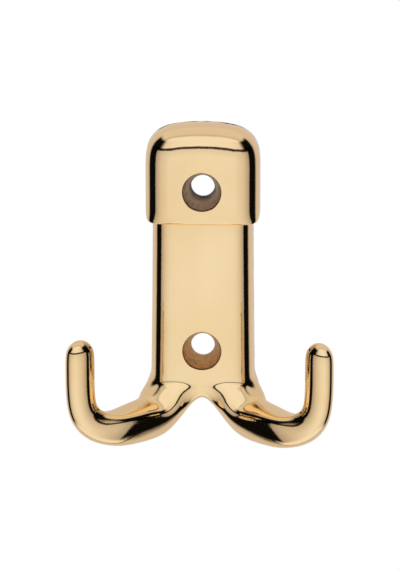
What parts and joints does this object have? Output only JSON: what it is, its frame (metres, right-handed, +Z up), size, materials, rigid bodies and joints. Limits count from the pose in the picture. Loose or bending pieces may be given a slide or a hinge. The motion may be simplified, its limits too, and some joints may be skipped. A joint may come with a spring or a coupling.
{
  "type": "coat hook",
  "caption": "Polished cast double coat hook: a rounded head over a slim shank, with countersunk screw holes, and an arm on each side that curves out, forward and up.",
  "frame": {"origin": "centre of the flat wall face, half way between the two screw holes", "axes": "+Y into the wall, +Z up, +X to the right as seen from the room"},
  "size_m": [0.0554, 0.02, 0.0664],
  "materials": {
    "polished_brass": "polished"
  },
  "bodies": {
    "root": {"coat_hook": "polished_brass"}
  },
  "joints": []
}
